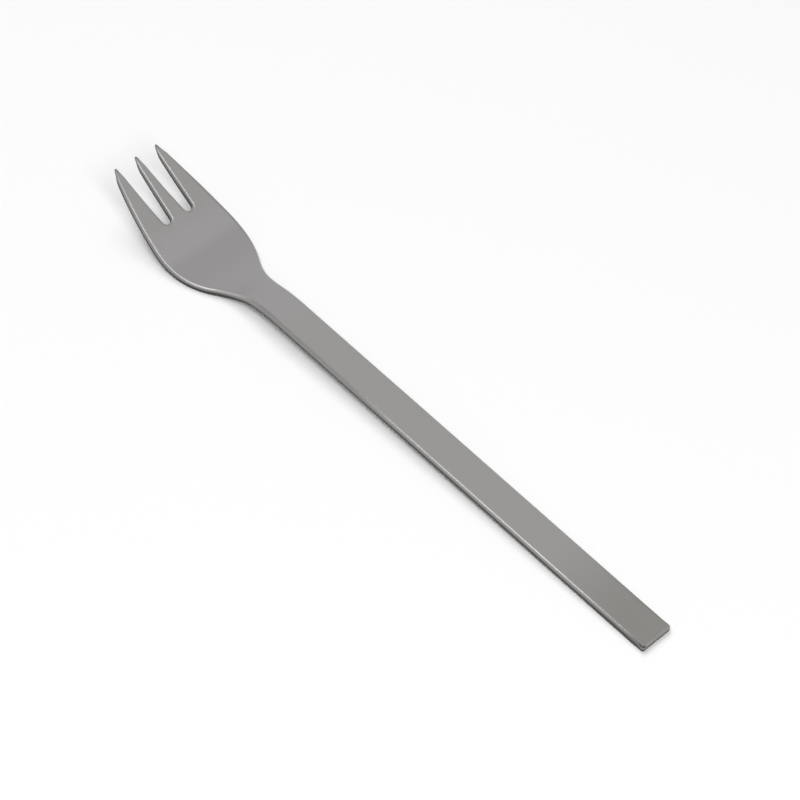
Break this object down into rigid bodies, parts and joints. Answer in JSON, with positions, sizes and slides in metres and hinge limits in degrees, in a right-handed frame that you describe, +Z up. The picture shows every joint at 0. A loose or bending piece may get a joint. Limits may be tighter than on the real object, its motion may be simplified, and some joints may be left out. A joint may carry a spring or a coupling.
{
  "type": "pastry fork",
  "caption": "Small satin steel fork: slim flat bar handle, dropped neck, shallow bowl and pointed tapering tines.",
  "frame": {"origin": "centre of the bounding box's bottom face, on the table that the fork lies on", "axes": "+X from the handle's end to the tips, +Z up out of the bowl; the fork is the same on both sides of the XZ plane"},
  "size_m": [0.1498, 0.0188, 0.0122],
  "materials": {
    "steel": "satin stainless steel, finely brushed along the fork, with softened and slightly brighter edges"
  },
  "bodies": {
    "root": {"fork": "steel"}
  },
  "joints": []
}
